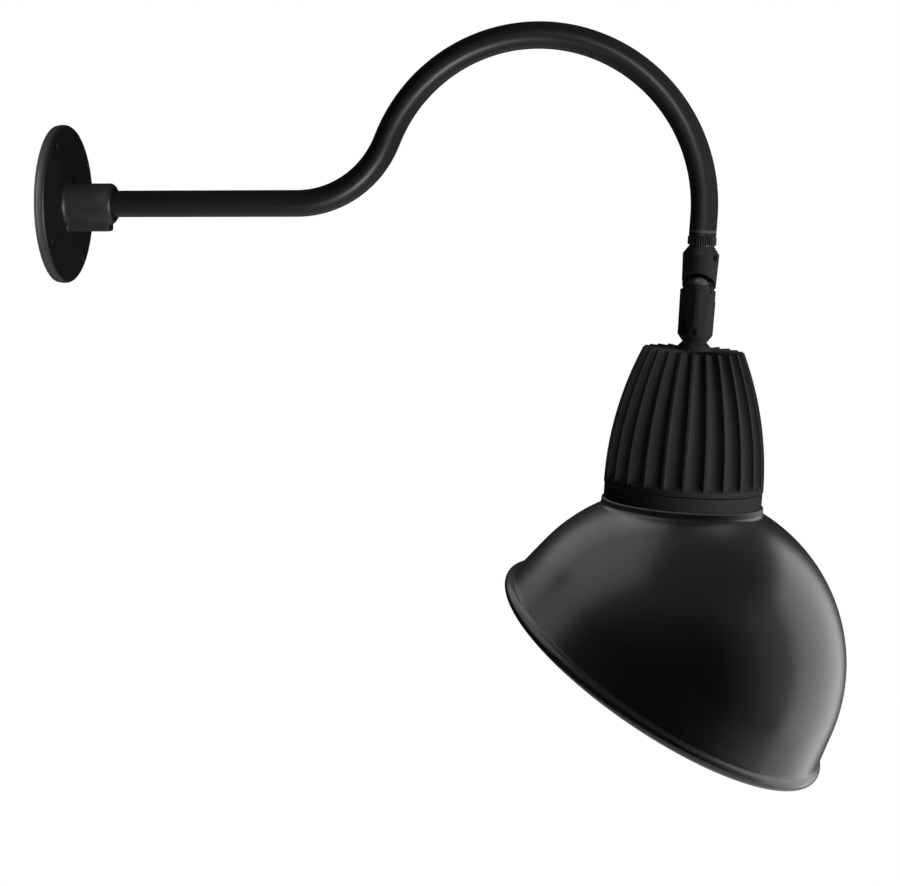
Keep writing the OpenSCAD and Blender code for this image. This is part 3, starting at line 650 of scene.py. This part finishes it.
# Band between the seam and the shade
lensBand = dict(top=196.6, step=207.3, end=213.6, outer=61.75, tail=61.25, mouth=42, seat=201.8,
                pocket=45.5, topRound=0.5, stepRound=0.35, endRound=0.3, mouthRound=0.8, roundSteps=4,
                sides=192)


def makeLensBand():
    p = lensBand
    corners = [(p["outer"], p["top"], p["topRound"]), (p["outer"], p["step"], p["stepRound"]),
               (p["tail"], p["step"], 0), (p["tail"], p["end"], p["endRound"]),
               (p["mouth"], p["end"], p["mouthRound"]), (p["mouth"], p["seat"], 0),
               (p["pocket"], p["seat"], 0), (p["pocket"], p["top"], 0)]
    rings = [lampRing(r, u, p["sides"]) for r, u in roundOutline(corners, p["roundSteps"])]
    return addPiece("lensBand", ringMesh("lensBand", rings), "head", "housing_black", "lens_frame")


# Spun shade: upright neck on the lamp's axis, dome about a tilted axis, skirt and rolled bead; lipRows,
# collarRows and edgeRows are the rows of faces where the neck's coats, a painted highlight on the lip and
# painted light on the collar, and the white inside end
shadeSpin = dict(drop=335.82, radius=138, sheet=2, neckTop=207.6, neckOuter=63.31, tilt=29.3, skirt=10.5,
                 rimDrop=10, beadRadius=5.3, beadCentre=140.3, fillet=4.5, crease=1.4, lip=0.7,
                 innerLip=0.3, hemGap=0.4, hemRise=0.5, hemMeet=0.8, innerGap=0.3, columns=240, rows=44,
                 filletSteps=8, skirtSteps=8, creaseSteps=5, beadSteps=32, hemSteps=16, hemEndSteps=6,
                 innerSteps=7, lipRows=2, collarRows=6, edgeRows=3)
skirtSlope = math.radians(shadeSpin["skirt"])
shadeUpright = lampAxis @ Matrix.Rotation(math.radians(-shadeTurn), 4, "Z")
shadeTilted = (shadeUpright @ Matrix.Translation((0, 0, -shadeSpin["drop"]))
               @ Matrix.Rotation(math.radians(shadeSpin["tilt"]), 4, "Y"))


# Neck edge, neck, and its fillet down onto a dome of radius r, as (radius, depth) about the lamp's axis;
# lip is the size of the edge's round, and below nought on the inner face
def neckSide(neck, r, fillet, lip):
    p = shadeSpin
    side = [Vector((neck - lip, p["neckTop"])),
            Vector((neck - lip * edgeShare, p["neckTop"] + abs(lip) * edgeShare)),
            Vector((neck, p["neckTop"] + abs(lip)))]
    reach = r + fillet  # the fillet's centre stands outside the dome by its own radius
    centre = Vector((neck + fillet, p["drop"] - math.sqrt(reach ** 2 - (neck + fillet) ** 2)))
    foot = math.atan2(p["drop"] - centre.y, -centre.x)
    for k in range(p["filletSteps"] + 1):
        a = math.pi + (foot - math.pi) * k / p["filletSteps"]
        side.append(centre + Vector((math.cos(a), math.sin(a))) * fillet)
    return side


# A ring about the dome's tilted axis, at height z over the dome's middle
def rimRing(r, z):
    return [shadeTilted @ Vector((*polar(r, a), z)) for a in roundAngles(shadeSpin["columns"])]


# Rings of one face of the shade, from the neck's edge down to the skirt
def shadeSide(neck, r, fillet, lip):
    p = shadeSpin
    middle = shadeTilted.translation
    angles = roundAngles(p["columns"])
    side = neckSide(neck, r, fillet, lip)
    rings = [[shadeUpright @ Vector((*polar(q.x, a), -q.y)) for a in angles] for q in side]
    top = rings[-1]
    ends = rimRing(r * math.cos(skirtSlope), r * math.sin(skirtSlope))
    for i in range(1, p["rows"] + 1):
        share = i / p["rows"]
        rings.append([middle + (a - middle).slerp(b - middle, share).normalized() * r
                      for a, b in zip(top, ends)])
    return rings


# The skirt is a cone that carries on straight from a dome of radius r
def skirtRadius(r, z):
    return r / math.cos(skirtSlope) - z * math.tan(skirtSlope)


# Middle of the small round in the crease, which touches both skirt and bead
def creaseMiddle():
    p = shadeSpin

    def besideSkirt(height):
        return skirtRadius(p["radius"], height) + p["crease"] / math.cos(skirtSlope)

    height = p["beadRadius"] - p["rimDrop"]
    easing = 0.7
    for attempt in range(40):  # closes in on the height where the two just touch
        reach = math.hypot(besideSkirt(height) - p["beadCentre"], height + p["rimDrop"])
        height += (p["beadRadius"] + p["crease"] - reach) * easing
    return besideSkirt(height), height


# Skirt, crease and bead from the dome's end, down and round to the bead's inner side
def rollRings():
    p = shadeSpin
    c, b, z0, k = p["beadCentre"], p["beadRadius"], -p["rimDrop"], p["crease"]
    r, height = creaseMiddle()
    fromSkirt = math.pi + skirtSlope
    fromBead = math.atan2(z0 - height, c - r)
    start = p["radius"] * math.sin(skirtSlope)
    meet = height + k * math.sin(fromSkirt)
    rings = []
    for i in range(1, p["skirtSteps"]):
        z = start + (meet - start) * i / p["skirtSteps"]
        rings.append(rimRing(skirtRadius(p["radius"], z), z))
    sweep = math.remainder(fromBead - fromSkirt, 2 * math.pi)
    for i in range(p["creaseSteps"] + 1):
        a = fromSkirt + sweep * i / p["creaseSteps"]
        rings.append(rimRing(r + k * math.cos(a), height + k * math.sin(a)))
    beadStart = math.atan2(height - z0, r - c)
    for i in range(1, p["beadSteps"] + 1):
        a = beadStart + (-math.pi - beadStart) * i / p["beadSteps"]
        rings.append(rimRing(c + b * math.cos(a), z0 + b * math.sin(a)))
    return rings


# Inner wall of the roll, from the sheet's cut edge round to the inside of the skirt
def hemRings(inner):
    p = shadeSpin
    c, z0 = p["beadCentre"], -p["rimDrop"]
    hem = p["beadRadius"] - p["sheet"]
    rings = []
    for i in range(p["hemSteps"] + 1):
        a = -math.pi + math.pi * i / p["hemSteps"]
        rings.append(rimRing(c + hem * math.cos(a), z0 + hem * math.sin(a)))
    over = math.acos((skirtRadius(inner, z0 + hem * p["hemMeet"]) - c) / hem)
    for i in range(1, p["hemEndSteps"] + 1):
        a = over * i / p["hemEndSteps"]
        rings.append(rimRing(c + hem * math.cos(a), z0 + hem * math.sin(a)))
    join, gap = z0 + hem * math.sin(over), p["innerGap"]
    for i in range(p["innerSteps"]):
        z = join + gap + (inner * math.sin(skirtSlope) - join - gap) * i / p["innerSteps"]
        rings.append(rimRing(skirtRadius(inner, z), z))
    return rings


def makeShade():
    p = shadeSpin
    inner = p["radius"] - p["sheet"]
    hem = p["beadRadius"] - p["sheet"]
    cut = p["hemRise"] - p["rimDrop"]  # the sheet's edge inside the roll
    rings = shadeSide(p["neckOuter"], p["radius"], p["fillet"], p["lip"]) + rollRings()
    rings += [rimRing(p["beadCentre"] - p["beadRadius"] + p["hemGap"], cut),
              rimRing(p["beadCentre"] - hem - p["hemGap"], cut)]
    outerFaces = len(rings) * p["columns"]
    rings += hemRings(inner)
    inside = shadeSide(p["neckOuter"] - p["sheet"], inner, p["fillet"] + p["sheet"], -p["innerLip"])
    rings += reversed(inside)
    shade = addPiece("spunShade", ringMesh("spunShade", rings, 50), "shade", "shade_black", "shade")
    # Third coat: a lighter grey on the neck's lip, a painted highlight; fourth: a duller, slightly lighter
    # copy of the shade's coat on the collar, painted light
    wear(shade, coatMaterial("shadeCoat", "shade"), coatMaterial("shadeWhite", "white"),
         coatMaterial("shadeNeck", "neck"), coatMaterial("shadeCollarPaintedLight", "collarPaintedLight"))
    innerEnd = (len(rings) - p["edgeRows"]) * p["columns"]  # the neck's edge stays black
    for face in shade.data.polygons:
        row = face.index // p["columns"]
        if row < p["lipRows"]:
            face.material_index = 2
        elif row < p["collarRows"]:
            face.material_index = 3
        else:
            face.material_index = 1 if outerFaces <= face.index < innerEnd else 0
    print("shade spun:", len(shade.data.polygons), "faces,", outerFaces, "outside")
    return shade


# Finishes of the parts that keep their packed form, and then the nodes that wear each of them
plainFinishes = dict(
    rubber=dict(low=(0.008, 0.008, 0.008), high=(0.016, 0.016, 0.016), gloss=0.8, scale=300),
    # The frame gasket's rubber, darker still and without sheen: rubber, with painted shade for the seam's
    # shadow
    rubberWithSeamShade=dict(low=(0.001, 0.001, 0.001), high=(0.002, 0.002, 0.002), gloss=0.8, scale=300, level=0),
    driverCase=dict(low=(0.62, 0.62, 0.6), high=(0.72, 0.72, 0.7), gloss=0.55, scale=120),
    thermalPad=dict(low=(0.24, 0.26, 0.3), high=(0.32, 0.34, 0.38), gloss=0.85, scale=400),
    boardWhite=dict(low=(0.68, 0.68, 0.66), high=(0.78, 0.78, 0.76), gloss=0.4, scale=200),
    emitterYellow=dict(low=(0.62, 0.42, 0.03), high=(0.78, 0.56, 0.06), gloss=0.45, scale=500))
toolFinishes = dict(
    steel=dict(low=(0.42, 0.42, 0.43), high=(0.62, 0.62, 0.63), metal=1.0, gloss=0.32),
    # Black oxide, made darker still as painted shade in the set screws' holes
    blackOxideAndHoleShade=dict(low=(0.003, 0.003, 0.003), high=(0.006, 0.006, 0.006), metal=0.3, gloss=0.6),
    brass=dict(low=(0.5, 0.36, 0.14), high=(0.66, 0.5, 0.22), metal=1.0, gloss=0.35),
    bareAluminium=dict(low=(0.5, 0.5, 0.51), high=(0.72, 0.72, 0.73), metal=1.0, gloss=0.38, lineScale=700),
    reflectorBright=dict(low=(0.8, 0.8, 0.8), high=(0.92, 0.92, 0.92), metal=1.0, gloss=0.16, change=0.06,
                         lineScale=400, bump=0.005))
wornBy = dict(
    rubber=("wall_gasket", "neck_seal", "lens_gasket"), rubberWithSeamShade=("frame_gasket",), driverCase=("driver",),
    thermalPad=("thermal_pad",), boardWhite=("led_board",), emitterYellow=("led_emitter",),
    steel=("nipple", "bolt_lock_washer", "knuckle_washer", "pivot_bolt", "driver_screws", "carrier_screws",
           "board_screws", "frame_screws", "clamp_screws"),
    blackOxideAndHoleShade=("hub_set_screw", "upper_set_screw", "lower_set_screw"), brass=("earth_screw",),
    bareAluminium=("led_carrier",), reflectorBright=("reflector",), clampCoat=("clamp_ring",),
    lensGlass=("lens",))


def dressNodes():
    made = {name: plainMaterial(name, **p) for name, p in plainFinishes.items()}
    made.update({name: toolMaterial(name, **p) for name, p in toolFinishes.items()})
    made["clampCoat"] = coatMaterial("clampCoat", "housing")
    made["lensGlass"] = glassMaterial()
    for finish, names in wornBy.items():
        for name in names:
            for slot in nodes[name].material_slots:
                slot.material = made[finish]
    print("nodes dressed:", sum(len(names) for names in wornBy.values()))


# Covers of the leads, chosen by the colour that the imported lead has
leadCovers = dict(
    black=dict(low=(0.012, 0.012, 0.012), high=(0.02, 0.02, 0.02)),
    white=dict(low=(0.6, 0.6, 0.58), high=(0.72, 0.72, 0.7)),
    green=dict(low=(0.02, 0.2, 0.05), high=(0.03, 0.28, 0.07)),
    red=dict(low=(0.4, 0.02, 0.02), high=(0.52, 0.03, 0.03)))


def leadColour(r, g, b):
    pale, margin = 0.4, 0.05
    if min(r, g, b) > pale:
        return "white"
    if g > 2 * r + margin:
        return "green"
    return "red" if r > 2 * g + margin else "black"


def dressLeads():
    made = {key: plainMaterial("leadCover." + key, **p, gloss=0.45, scale=350)
            for key, p in leadCovers.items()}
    for name in ("arm_leads", "driver_leads", "board_leads"):
        for slot in nodes[name].material_slots:
            shader = slot.material.node_tree.nodes.get("Principled BSDF")
            slot.material = made[leadColour(*shader.inputs["Base Color"].default_value[:3])]
    print("leads dressed")


plateCasting, upperKnuckle, lowerKnuckle = makeCastings()
armPiece = makeArm()
ringPiece = makeLockRing()
housingPiece = makeHousing()
bandPiece = makeLensBand()
shadePiece = makeShade()
housingCoat = coatMaterial("housingCoat", "housing")
wear(housingPiece, housingCoat)
wear(bandPiece, housingCoat)
dressNodes()
dressLeads()


# Studio: directions are given as seen from the camera, (right, up, back towards the camera)
view = dict(place=(843.69, -2463.74, 99.71), target=(319.4, 0, -189.8), roll=0.64, lens=128, sensor=36,
            near=0.05, far=50)


def addCamera():
    data = bpy.data.cameras.new("camera")
    data.lens, data.sensor_width = view["lens"], view["sensor"]
    data.clip_start, data.clip_end = view["near"], view["far"]
    camera = bpy.data.objects.new("camera", data)
    bpy.context.scene.collection.objects.link(camera)
    place, target = Vector(view["place"]) * mm, Vector(view["target"]) * mm
    turn = (target - place).to_track_quat("-Z", "Y").to_matrix().to_4x4()
    roll = Matrix.Rotation(math.radians(-view["roll"]), 4, "Z")
    camera.matrix_world = Matrix.Translation(place) @ turn @ roll
    bpy.context.scene.camera = camera
    return camera


# Pieces that a lamp is set up for; lamps of the housing and shade also light the floor and inner parts
plateParts = [plateCasting, nodes["wall_gasket"], nodes["earth_screw"], nodes["hub_set_screw"]]
armParts = [armPiece]
knuckleParts = [upperKnuckle, lowerKnuckle, ringPiece, nodes["upper_set_screw"], nodes["lower_set_screw"]]
housingParts = [housingPiece, bandPiece]
shadeParts = [shadePiece]
for housingPart in housingParts:
    housingPart.visible_glossy = False  # the photo's shade doesn't mirror the housing above it
insideParts = [o for o in nodes.values() if o not in plateParts + knuckleParts]


# glow is how bright a panel looks, where 1 is white; leaveOut names the kind of ray that it is kept from
lamps = dict(
    plateKey=dict(parts=plateParts, direction=(-0.45, 0.05, 0.9), distance=1.6, size=(0.45, 1.6),
                  glow=15.0, leaveOut="glossy"),
    plateLeft=dict(parts=plateParts, direction=(-0.92, 0.15, 0.35), distance=1.6, size=(0.5, 1.8),
                   glow=18.0),
    plateSide=dict(parts=plateParts, direction=(0.9, -0.1, 0.42), distance=1.6, size=(0.35, 0.9),
                   glow=60.0, leaveOut="diffuse"),
    armLeft=dict(parts=armParts, direction=(-0.09, -0.49, 0.87), distance=1.7, size=(0.34, 0.4), turn=-58,
                 glow=98.0, leaveOut="diffuse"),
    armRight=dict(parts=armParts, direction=(-0.01, 0.38, 0.925), distance=1.7, size=(0.2, 0.4), turn=37,
                  glow=70.0, leaveOut="diffuse"),
    armKey=dict(parts=armParts, direction=(0.8, 0.12, 0.59), distance=1.7, size=(0.7, 0.7), glow=21.0,
                leaveOut="glossy"),
    knuckleKey=dict(parts=knuckleParts, direction=(0.86, 0.15, 0.48), distance=1.3, size=(0.35, 0.45),
                    glow=22.0, leaveOut="glossy"),
    knuckleSide=dict(parts=knuckleParts, direction=(0.9, 0.15, 0.4), distance=1.3, size=(0.6, 0.9),
                     glow=3.0),
    knuckleTop=dict(parts=knuckleParts, direction=(0.0, 0.85, 0.52), distance=1.5, size=(0.6, 0.4),
                    glow=12.0, leaveOut="diffuse", shadow=False),
    housingKey=dict(parts=housingParts, direction=(0.86, 0.1, 0.5), distance=1.3, size=(0.5, 0.7),
                    glow=9.0, leaveOut="glossy", shadow=False),
    housingFront=dict(parts=housingParts, direction=(0.5, 0.05, 0.86), distance=1.3, size=(0.5, 0.7),
                      glow=1.8, leaveOut="glossy", shadow=False),
    housingSide=dict(parts=housingParts, direction=(0.9, 0.15, 0.4), distance=1.3, size=(0.6, 0.9),
                     glow=3.0),
    shadeFront=dict(parts=shadeParts, direction=(0.92, 0.0, 0.4), distance=1.6, size=(0.75, 1.8),
                    glow=0.45),
    shadeEdge=dict(parts=shadeParts, direction=(0.82, 0.0, 0.57), distance=1.6, size=(1.1, 2.2),
                   glow=0.15),
    shadeRight=dict(parts=shadeParts, direction=(0.92, -0.12, -0.38), distance=1.8, size=(2.1, 3.3),
                    glow=2.3),
    shadeTop=dict(parts=shadeParts, direction=(-0.55, 0.8, -0.15), distance=1.8, size=(2.5, 2.2),
                  glow=1.12),
    shadeCrown=dict(parts=shadeParts, direction=(0.1, 0.9, -0.4), distance=1.8, size=(1.4, 0.6), glow=1.0,
                    shadow=False),
    shadeNeck=dict(parts=shadeParts, direction=(-0.25, 0.4, 0.88), distance=1.6, size=(0.6, 0.6), glow=9.0,
                   leaveOut="glossy"),
    shadeHigh=dict(parts=shadeParts, direction=(0, 1, 0), distance=1.5, size=(1.2, 1.2), glow=0.14),
    shadeSky=dict(parts=shadeParts, direction=(0, 1, 0), distance=1.5, size=(2.4, 2.4), glow=0.12),
    shadeHaze=dict(parts=shadeParts, direction=(0, 1, 0), distance=1.5, size=(4.6, 4.6), glow=0.12),
    backFill=dict(parts=None, direction=(0.1, 0.35, -0.93), distance=2.0, size=(1.5, 1.5), glow=2.5,
                  leaveOut="glossy"))
lampTarget = (0.47, 0, -0.28)


def addLamps(camera, floor):
    turn = camera.matrix_world.to_3x3()
    for name, p in lamps.items():
        data = bpy.data.lights.new(name, "AREA")
        data.shape, data.size, data.size_y = "RECTANGLE", *p["size"]
        data.energy = p["glow"] * math.pi * p["size"][0] * p["size"][1]
        data.use_shadow = p.get("shadow", True)
        lamp = bpy.data.objects.new(name, data)
        bpy.context.scene.collection.objects.link(lamp)
        away = (turn @ Vector(p["direction"])).normalized()
        place = Matrix.Translation(Vector(lampTarget) + away * p["distance"])
        facing = away.to_track_quat("Z", "Y").to_matrix().to_4x4()
        lamp.matrix_world = place @ facing @ Matrix.Rotation(math.radians(p.get("turn", 0)), 4, "Z")
        lamp.visible_camera = False
        if "leaveOut" in p:
            setattr(lamp, "visible_" + p["leaveOut"], False)
        if p["parts"] is None:
            continue
        lit = list(p["parts"])
        if p["parts"] in (housingParts, shadeParts):
            lit += insideParts + [floor]
        receivers = bpy.data.collections.new(name)
        for piece in lit:
            receivers.objects.link(piece)
        lamp.light_linking.receiver_collection = receivers


# World: white to the camera; mirrors see a dim room with a pale ceiling, and the rest gets a faint fill
studio = dict(room=0.007, ceiling=0.12, ceilingFrom=-0.1, ceilingTo=1.1, fill=0.02)


def addWorld():
    world = bpy.data.worlds.new("studio")
    bpy.context.scene.world = world
    world.use_nodes = True
    tree = world.node_tree
    back = tree.nodes["Background"]
    path = tree.nodes.new("ShaderNodeLightPath")
    place = tree.nodes.new("ShaderNodeTexCoord")
    split = tree.nodes.new("ShaderNodeSeparateXYZ")
    tree.links.new(place.outputs["Generated"], split.inputs[0])
    ramp = tree.nodes.new("ShaderNodeMapRange")
    ramp.interpolation_type = "SMOOTHSTEP"
    ramp.inputs["From Min"].default_value = studio["ceilingFrom"]
    ramp.inputs["From Max"].default_value = studio["ceilingTo"]
    ramp.inputs["To Min"].default_value = 0.0
    ramp.inputs["To Max"].default_value = studio["ceiling"]
    tree.links.new(split.outputs["Z"], ramp.inputs["Value"])
    room = addMath(tree, "ADD", ramp.outputs[0], studio["room"])
    seen = addMath(tree, "ADD", path.outputs["Is Glossy Ray"], path.outputs["Is Transmission Ray"], True)
    shown = addMath(tree, "MULTIPLY", seen, room)
    fill = addMath(tree, "MULTIPLY", addMath(tree, "SUBTRACT", 1.0, seen), studio["fill"])
    away = addMath(tree, "SUBTRACT", 1.0, path.outputs["Is Camera Ray"])
    other = addMath(tree, "MULTIPLY", addMath(tree, "ADD", shown, fill), away)
    back.inputs["Color"].default_value = (1, 1, 1, 1)
    tree.links.new(addMath(tree, "ADD", other, path.outputs["Is Camera Ray"]), back.inputs["Strength"])


# Pale floor, far enough below to stay out of the camera's view
floorDisc = dict(radius=1.2, place=(0.35, 0, -1.1), sides=96)


def addFloor():
    mesh = bpy.data.meshes.new("floor")
    form = bmesh.new()
    bmesh.ops.create_circle(form, cap_ends=True, segments=floorDisc["sides"], radius=floorDisc["radius"])
    form.to_mesh(mesh)
    form.free()
    floor = bpy.data.objects.new("floor", mesh)
    floor.location = floorDisc["place"]
    bpy.context.scene.collection.objects.link(floor)
    wear(floor, plainMaterial("paleFloor", (0.8, 0.8, 0.79), (0.84, 0.84, 0.83), 0.8, 8))
    return floor


bpy.context.scene.view_settings.view_transform = "Standard"
mainCamera = addCamera()
addLamps(mainCamera, addFloor())
addWorld()
print("studio set")
